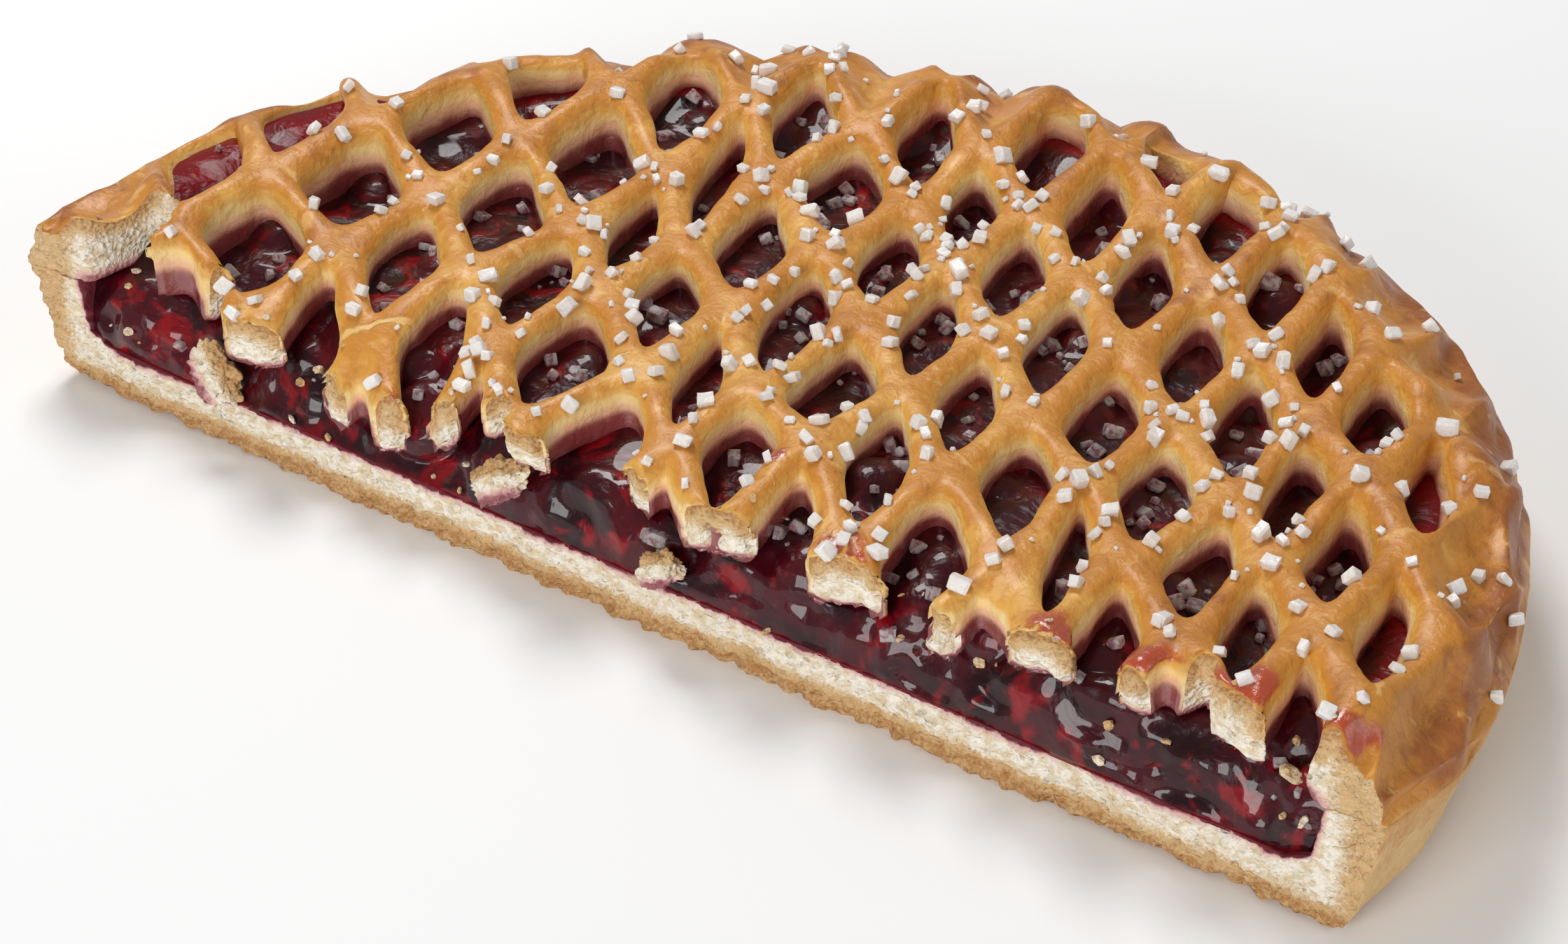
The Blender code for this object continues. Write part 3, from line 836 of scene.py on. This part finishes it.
def net_cells():
    """The flat sheet of cells between the junctions, trimmed round."""
    bm = bmesh.new()
    bmesh.ops.create_grid(bm, x_segments=2 * NET_COLUMNS, y_segments=2 * NET_ROWS, size=1.0)
    for vertex in bm.verts:
        place = junction(round(vertex.co.x * NET_COLUMNS), round(-vertex.co.y * NET_ROWS))
        vertex.co = (place.x, place.y, 0.0)
    for index in range(72):
        angle = math.tau * index / 72
        outward = Vector((math.cos(angle), math.sin(angle), 0.0))
        everything = bm.verts[:] + bm.edges[:] + bm.faces[:]
        bmesh.ops.bisect_plane(bm, geom=everything, plane_co=outward * SHEET_RADIUS,
                               plane_no=outward, clear_outer=True, dist=0.0004)
    everything = bm.verts[:] + bm.edges[:] + bm.faces[:]
    bmesh.ops.bisect_plane(bm, geom=everything, plane_co=(0, CUT_Y - 0.014, 0),
                           plane_no=(0, -1, 0), clear_outer=True)
    bmesh.ops.remove_doubles(bm, verts=bm.verts, dist=0.0015)
    bmesh.ops.recalc_face_normals(bm, faces=bm.faces[:])
    if sum(face.normal.z for face in bm.faces) < 0:
        bmesh.ops.reverse_faces(bm, faces=bm.faces[:])
    for vertex in bm.verts:
        x, y = vertex.co.x, vertex.co.y
        slid = (1.0 - ramp(x, -0.112, -0.088)) * ramp(y, -0.006, 0.010) * (1.0 - ramp(y, 0.06, 0.09))
        vertex.co += LEFT_SLIDE * slid
        across = math.hypot(vertex.co.x, vertex.co.y)
        vertex.co *= min(1.0, SHEET_RADIUS / across)
    long_ones = [edge for edge in bm.edges if edge.calc_length() > 0.008]
    bmesh.ops.bisect_edges(bm, edges=long_ones, cuts=2)
    return bm


def lattice_break(x, z):
    """Place of the broken ends of the strands: each one snapped at its own depth, and crumbly."""
    y = CUT_Y + 0.0045 * ripple(x, 0.0, 0.016, 9.0)
    for middle, reach, depth in NOTCHES:
        y += depth * (1.0 - ramp(abs(x - middle), 0.3 * reach, reach))
    y += 0.0012 * ripple(x, z, 0.0060, 91.0) + 0.00080 * ripple(x, z, 0.0028, 92.0)
    y += 0.00055 * ripple(x, z, 0.0012, 93.0)
    y += 0.0016 * (1.0 - ramp(z, 0.0235, 0.0305))
    return y + (crust_break(x, z) - y) * ramp(abs(x), 0.119, 0.126)


def is_near(middle, places):
    return any(math.hypot(middle.x - x, middle.y - y) < 0.004 for x, y in places)


def shape_cell(cell, pressed, edge_of_strand):
    """Draws in the inner outline of a cell: a lens with pointed ends, or a dimple on the rim."""
    middle = cell.calc_center_median()
    closed = math.hypot(middle.x, middle.y) >= RIM_REACH
    closed = closed and not is_near(middle, OPENED) or is_near(middle, CLOSED)
    lengthwise = (STEP_C + STEP_R).normalized().to_3d()
    sideways = Vector((-lengthwise.y, lengthwise.x, 0.0))
    spots = [vertex.co - middle for vertex in cell.verts]
    half_length = max(abs(spot.dot(lengthwise)) for spot in spots)
    half_width = max(abs(spot.dot(sideways)) for spot in spots)
    narrower = 1.25 if closed else 1.0
    if is_near(middle, CLOSED):
        narrower = 2.4
    keep_length = max(0.30, 1.0 - narrower * OPENING_END / half_length)
    keep_width = max(0.25, 1.0 - narrower * OPENING_SIDE / half_width)
    for vertex, spot in zip(cell.verts[:], spots):
        part = min(1.0, abs(spot.dot(lengthwise)) / half_length)
        fuller = (1.0 - part ** OPENING_ROUNDNESS) / max(0.04, 1.0 - part)
        uneven = 1.0 + 0.13 * ripple(vertex.co.x, vertex.co.y, 0.009, 94.0)
        place = middle + lengthwise * (spot.dot(lengthwise) * keep_length * uneven)
        place += sideways * (spot.dot(sideways) * keep_width * fuller * uneven)
        across = math.hypot(place.x, place.y)
        limit = OPENING_REACH + (LEFT_REACH - OPENING_REACH) * left_part(middle.x, middle.y)
        if not closed and across > limit:
            place *= limit / across
        vertex.co = place
        vertex[edge_of_strand] = 1.0
        vertex[pressed] = PRESSED * min(1.0, half_width / 0.009) if closed else 0.0
    return closed


def round_torn_ends(mesh):
    """Pulls the edges of the torn faces back, so that the broken ends are domed."""
    torn, away = torn_points(mesh)
    points = points_of(mesh)
    inside = 1.0 - np_ramp(np.abs(points[:, 0]), 0.112, 0.120)
    back = 0.0013 * torn * (1.0 - np_ramp(away, 0.0, 0.0022)) * inside
    points[:, 1] += back
    points[:, 2] -= 0.5 * back * np_ramp(points[:, 2], 0.026, 0.031)
    place_points(mesh, points)


def make_lattice(skin, torn_dough):
    bm = net_cells()
    crossing = bm.verts.layers.float.new("crossing")
    for vertex in bm.verts:
        vertex[crossing] = 1.0 if len(vertex.link_edges) > 2 else 0.0
    cells = bm.faces[:]
    bmesh.ops.inset_individual(bm, faces=cells, thickness=0.00001, use_even_offset=False)
    pressed = bm.verts.layers.float.new("pressed")
    edge_of_strand = bm.verts.layers.float.new("edge")
    holes = [cell for cell in cells if not shape_cell(cell, pressed, edge_of_strand)]
    bmesh.ops.delete(bm, geom=holes, context="FACES")
    raised = bmesh.ops.extrude_face_region(bm, geom=bm.faces[:])["geom"]
    raised = [part for part in raised if isinstance(part, bmesh.types.BMVert)]
    bmesh.ops.translate(bm, vec=(0, 0, 1), verts=raised)
    upright = [e for e in bm.edges if abs(e.verts[0].co.z - e.verts[1].co.z) > 0.5]
    bmesh.ops.subdivide_edges(bm, edges=upright, cuts=2, use_grid_fill=True)
    for vertex in bm.verts:
        level = vertex.co.z
        edge = vertex[edge_of_strand]
        lift = 0.0
        if level > 0.9:
            rim = ramp(math.hypot(vertex.co.x, vertex.co.y), 0.116, 0.130)
            middle = (0.5 - 0.375 * vertex[crossing]) * STRAND_SHOULDER + RIDGE * rim
            lift = middle * (1.0 - edge) - STRAND_SHOULDER * edge
        vertex.co = fold_over_rim(vertex.co.x, vertex.co.y, level, vertex[pressed], lift)
    turn_outward(bm)
    piece = new_piece("lattice_dough", mesh_from(bm, "lattice_dough"), (skin, torn_dough))
    rounding = piece.modifiers.new("round", "SUBSURF")
    rounding.levels = rounding.render_levels = 2
    mesh = settled_mesh(piece, "lattice_dough")
    points = points_of(mesh)
    lumps = 0.00065 * unevenness(points, 0.012, 95.0) + 0.00032 * unevenness(points, 0.0048, 96.0)
    lumps += 0.00011 * unevenness(points, 0.0022, 97.0)
    rim = np_ramp(np.hypot(points[:, 0], points[:, 1]), 0.118, 0.128)
    rim *= 0.25 + 0.75 * np_ramp(points[:, 2], 0.026, 0.032)
    lumps += 0.0030 * rim * (unevenness(points, 0.0130, 98.0) - 0.25)
    high = np_ramp(points[:, 2], LID_FLOOR - 0.004, LID_FLOOR + 0.003)
    points += normals_of(mesh) * ((lumps - 0.0002) * high)[:, None]
    place_points(mesh, points)
    piece = new_piece("lattice_dough", mesh)
    block = cutting_block("lattice_block", 0.0008, 0.004, 0.042, lattice_break)
    mesh = break_off(piece, block, "lattice_dough")
    keep_largest_body(mesh)
    round_torn_ends(mesh)
    pull_in_corners(mesh)
    colour_lattice(mesh)
    smooth_skin(mesh)
    return new_piece("lattice_dough", mesh)


def colour_lattice(mesh):
    """Marks where the dough is baked, stained by the filling, smeared with jam or torn."""
    points = points_of(mesh)
    facing = normals_of(mesh)
    torn, away = torn_points(mesh)
    x, y, z = points.T
    across = np.hypot(x, y)
    raised = z + np.array([droop(a, b) for a, b in zip(x, y)])
    crown = np.array([crown_height(a, b) for a, b in zip(x, y)])
    level = (raised - LID_FLOOR) / (crown - LID_FLOOR)
    outward = (facing[:, 0] * x + facing[:, 1] * y) / np.maximum(across, 0.01)
    outer = np_ramp(across, RIM_START - 0.006, RIM_START + 0.006)
    outer = outer * np_ramp(outward, -0.55, 0.05)
    inner_bake = 0.06 + 0.46 * np_ramp(level, 0.35, 1.0) + 0.44 * np_ramp(facing[:, 2], -0.1, 0.9)
    inner_bake += 0.14 * np_ramp(across, 0.070, 0.125) * np_ramp(level, 0.5, 1.0)
    bake = inner_bake + (1.02 - inner_bake) * outer + 0.46 * np_ramp(across, 0.126, 0.139) * np_ramp(z, 0.022, 0.029)
    stain = 1.0 - np.where(torn, np_ramp(level, 0.02, 0.26), np_ramp(level, 0.36, 0.84))
    stain = stain * (1.0 - np_ramp(across, 0.124, 0.130))
    jam = np.zeros(len(points))
    for jx, jy, reach in JAM_SPOTS:
        gap = np.hypot((x - jx) * 0.9, y - jy)
        jam = np.maximum(jam, 1.0 - gap / (reach * 1.5))
    jam = np.clip(jam, 0.0, 1.0) * np_ramp(facing[:, 2], 0.1, 0.6) * np_ramp(level, 0.5, 0.8)
    jam = jam * np.where(torn, 0.4, 1.0)
    rind = np.where(torn, 1.25 - np_ramp(away, 0.0, 0.0044), 1.0) * np_ramp(level, 0.22, 0.75)
    rind = np.maximum(rind, 0.75 * np_ramp(across, RADIUS - 0.0170, RADIUS - 0.0100))
    store(mesh, "bake", bake)
    store(mesh, "stain", stain)
    store(mesh, "jam", jam)
    store(mesh, "rind", rind)
    points += facing * (0.0005 * np_ramp(jam, 0.3, 0.7))[:, None]
    place_points(mesh, points)


# ---------------------------------------------------------------- sugar, crumbs and chips
def crystal_shapes(rng, count):
    """A few irregular crystals, about one unit across, as small meshes."""
    shapes = []
    for _ in range(count):
        bm = bmesh.new()
        bmesh.ops.create_cube(bm, size=1.0)
        bmesh.ops.bevel(bm, geom=bm.edges[:] + bm.verts[:], offset=rng.uniform(0.08, 0.17),
                        segments=1, profile=0.5, affect="EDGES", material=-1)
        sides = Vector((rng.uniform(0.85, 1.15), rng.uniform(0.70, 0.95), rng.uniform(0.55, 0.8)))
        for vertex in bm.verts:
            stray = Vector([rng.uniform(-0.08, 0.08) for _ in range(3)])
            vertex.co = (vertex.co + stray) * sides
        shapes.append(mesh_from(bm, "crystal"))
    return shapes


def gather(name, shapes, places, materials):
    """One mesh with a copy of a shape at every place: (shape, matrix)."""
    bm = bmesh.new()
    for index, matrix in places:
        before = len(bm.verts)
        bm.from_mesh(shapes[index])
        bm.verts.ensure_lookup_table()
        bmesh.ops.transform(bm, matrix=matrix, verts=bm.verts[before:])
    return new_piece(name, mesh_from(bm, name), materials)


def random_turn(rng):
    axis = Vector([rng.gauss(0, 1) for _ in range(3)]).normalized()
    return Matrix.Rotation(rng.uniform(0, math.tau), 4, axis)


def surface_of(piece):
    graph = bpy.context.evaluated_depsgraph_get()
    graph.update()
    return BVHTree.FromObject(piece, graph)


def scatter_sugar(lattice, filling, rng):
    """Crystals strewn over the pie: those that land on dough, and those that fell in."""
    on_dough, in_filling = [], []
    taken = []
    high = 0.08
    for _ in range(3000):
        cx, cy = rng.uniform(-0.135, 0.138), rng.uniform(-0.008, 0.136)
        fewer = 0.35 + 0.65 * ramp(cx, -0.125, -0.045)
        fewer *= 1.0 - 0.85 * ramp(math.hypot(cx, cy), 0.120, 0.131)
        if rng.random() > fewer:
            continue
        for _ in range(rng.choice((1, 1, 1, 2, 2, 3, 4))):
            x, y = cx + rng.gauss(0, 0.0030), cy + rng.gauss(0, 0.0030)
            size = rng.uniform(0.0017, 0.0030) * rng.choice((0.4, 0.8, 1.0, 1.0, 1.1))
            start = Vector((x, y, high))
            dough = lattice.ray_cast(start, Vector((0, 0, -1)))
            syrup = filling.ray_cast(start, Vector((0, 0, -1)))
            if any(math.hypot(x - a, y - b) < 0.45 * (size + s) for a, b, s in taken):
                continue
            fell_in = syrup[0] is not None and (dough[0] is None or dough[0].z < syrup[0].z)
            if fell_in:
                if syrup[0].z < 0.0125 or len(in_filling) >= 240:
                    continue
                place = syrup[0] + Vector((0, 0, size * rng.uniform(0.02, 0.30)))
                group = in_filling
            elif dough[0] is not None:
                if dough[1].z < 0.62 or len(on_dough) >= 390:
                    continue
                place = dough[0] + dough[1] * size * rng.uniform(0.16, 0.30)
                group = on_dough
            else:
                continue
            taken.append((x, y, size))
            matrix = Matrix.Translation(place) @ random_turn(rng) @ Matrix.Scale(size, 4)
            group.append((rng.randrange(6), matrix))
    return on_dough, in_filling


FLAKES = (                # x, z and size of the larger crumbs that hang on the cut
    (0.1180, 0.0212, 0.0040), (0.1222, 0.0165, 0.0028), (0.0640, 0.0182, 0.0024),
    (-0.0640, 0.0170, 0.0020),
)


def crumb_shapes(rng, count):
    shapes = []
    for _ in range(count):
        bm = bmesh.new()
        bmesh.ops.create_icosphere(bm, subdivisions=2, radius=0.5)
        sides = Vector((1.0, rng.uniform(0.5, 0.9), rng.uniform(0.3, 0.7)))
        rind = bm.verts.layers.float.new("rind")
        baked = rng.uniform(0.3, 1.1)
        for vertex in bm.verts:
            stray = Vector([rng.uniform(-0.09, 0.09) for _ in range(3)])
            vertex.co = (vertex.co + stray) * sides
            vertex[rind] = baked
        shapes.append(mesh_from(bm, "crumb"))
    return shapes


def scatter_crumbs(lattice, filling, rng):
    places = []
    for x, z, size in FLAKES:
        spot, facing, *_ = filling.ray_cast(Vector((x, -0.05, z)), Vector((0, 1, 0)))
        if spot is not None:
            matrix = Matrix.Translation(spot) @ random_turn(rng) @ Matrix.Scale(size, 4)
            places.append((rng.randrange(5), matrix))
    for _ in range(70):
        x = rng.uniform(-0.125, 0.130)
        y = CUT_Y + abs(rng.gauss(0, 0.006)) - 0.001
        start = Vector((x, y, 0.08))
        dough = lattice.ray_cast(start, Vector((0, 0, -1)))
        syrup = filling.ray_cast(start, Vector((0, 0, -1)))
        if dough[0] is not None and (syrup[0] is None or dough[0].z > syrup[0].z):
            if dough[1].z < 0.3 or rng.random() > 0.35:
                continue
            spot, facing = dough[0], dough[1]
        elif syrup[0] is not None:
            spot, facing = syrup[0], syrup[1]
        else:
            continue
        size = rng.uniform(0.0006, 0.0022)
        place = spot + facing * size * 0.15
        matrix = Matrix.Translation(place) @ random_turn(rng) @ Matrix.Scale(size, 4)
        places.append((rng.randrange(5), matrix))
    return places


def make_chip(name, middle, length, height, turn, torn_dough):
    """A broken flake of crust, stuck to the filling."""
    x, z = middle
    bm = bmesh.new()
    bmesh.ops.create_icosphere(bm, subdivisions=5, radius=0.5)
    level = (z - BASE_HEIGHT) / (WALL_TOP - BASE_HEIGHT)
    place = Matrix.Translation((x, CUT_Y + FILLING_LEAN * level - 0.0044, z))
    tilt = Matrix.Rotation(math.radians(turn), 4, "Y") @ Matrix.Rotation(math.radians(-35), 4, "X")
    rind = bm.verts.layers.float.new("rind")
    stain = bm.verts.layers.float.new("stain")
    for vertex in bm.verts:
        spot = vertex.co.copy()
        seed = Vector((x * 900.0, 0.0, 0.0))
        rough = 1.0 + 0.35 * noise.noise(spot * 3.0 + seed) + 0.22 * noise.noise(spot * 8.0 + seed)
        rough += 0.14 * noise.noise(spot * 19.0 + seed)
        vertex.co = Vector((spot.x * length, spot.y * 0.0036, spot.z * height)) * rough
        vertex[rind] = 1.1 * ramp(spot.z, -0.12, 0.30)
        vertex[stain] = ramp(-spot.z, 0.05, 0.45) + ramp(spot.y, 0.1, 0.4)
        vertex.co = place @ tilt @ vertex.co
    piece = new_piece(name, mesh_from(bm, name), (torn_dough,))
    smooth_skin(piece.data)
    return piece


# ---------------------------------------------------------------- stage
def make_stage():
    bm = bmesh.new()
    bmesh.ops.create_grid(bm, x_segments=1, y_segments=1, size=3.0)
    floor = new_piece("floor", mesh_from(bm, "floor"), (pale_floor(),))
    return floor


def add_light(name, place, target, size, power, colour=(1.0, 1.0, 1.0)):
    lamp = bpy.data.lights.new(name, "AREA")
    lamp.shape = "RECTANGLE"
    lamp.size, lamp.size_y = size
    lamp.energy = power
    lamp.color = colour
    item = bpy.data.objects.new(name, lamp)
    bpy.context.scene.collection.objects.link(item)
    item.location = place
    item.rotation_euler = (Vector(target) - Vector(place)).to_track_quat("-Z", "Y").to_euler()


def make_lights():
    target = (0.0, 0.05, 0.02)
    add_light("top_softbox", (-0.45, 0.35, 0.85), target, (0.36, 0.36), 6.0)
    add_light("front_fill", (0.10, -0.95, 0.40), target, (0.55, 0.40), 5.5)
    add_light("right_fill", (0.95, 0.15, 0.50), target, (0.6, 0.6), 1.5)
    world = bpy.data.worlds.new("studio")
    bpy.context.scene.world = world
    world.use_nodes = True
    world.node_tree.nodes["Background"].inputs["Color"].default_value = (1.0, 1.0, 1.0, 1.0)
    world.node_tree.nodes["Background"].inputs["Strength"].default_value = 0.30
    bpy.context.scene.view_settings.view_transform = "Standard"


def make_camera():
    azimuth, elevation, roll = map(math.radians, (36.02, 35.47, -0.94))
    distance = 0.57796
    target = Vector((0.00685, 0.0243, 0.0150))
    back = Vector((math.sin(azimuth) * math.cos(elevation),
                   -math.cos(azimuth) * math.cos(elevation), math.sin(elevation)))
    right = Vector((math.cos(azimuth), math.sin(azimuth), 0.0))
    up = back.cross(right)
    right, up = (math.cos(roll) * right + math.sin(roll) * up,
                 math.cos(roll) * up - math.sin(roll) * right)
    lens = bpy.data.cameras.new("camera")
    lens.lens = 78.60
    lens.sensor_width = 36.0
    lens.clip_start = 0.01
    camera = bpy.data.objects.new("camera", lens)
    bpy.context.scene.collection.objects.link(camera)
    matrix = Matrix((right, up, back)).transposed().to_4x4()
    matrix.translation = target + back * distance
    camera.matrix_world = matrix
    bpy.context.scene.camera = camera


# ---------------------------------------------------------------- the pie
def main():
    make_camera()
    make_lights()
    make_stage()
    skin = baked_skin()
    torn_dough = crumb()
    crust = make_crust(crust_skin(), torn_dough)
    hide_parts("crust")
    filling = make_filling(cherry_syrup())
    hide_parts("cherry_filling")
    lattice = make_lattice(skin, torn_dough)
    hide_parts("lattice_lid")
    pieces = [crust, filling, lattice]
    for name, middle, length, height, turn in CHIPS:
        chip = make_chip(name + "_torn", middle, length, height, turn, torn_dough)
        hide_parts(name)
        pieces.append(chip)
    over_dough, over_syrup = surface_of(lattice), surface_of(filling)
    rng = random.Random(11)
    shapes = crystal_shapes(rng, 6)
    on_dough, in_filling = scatter_sugar(over_dough, over_syrup, rng)
    white = sugar("white_sugar", shade(247, 239, 231), 0.15)
    tinted = sugar("soaked_sugar", shade(196, 138, 156), 0.60)
    pieces.append(gather("sugar_on_dough", shapes, on_dough, (white,)))
    pieces.append(gather("sugar_in_filling", shapes, in_filling, (tinted,)))
    crumbs = scatter_crumbs(over_dough, over_syrup, rng)
    loose = gather("loose_crumbs", crumb_shapes(rng, 5), crumbs, (torn_dough,))
    pieces.append(loose)
    for piece in pieces:
        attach(piece, "root")


main()
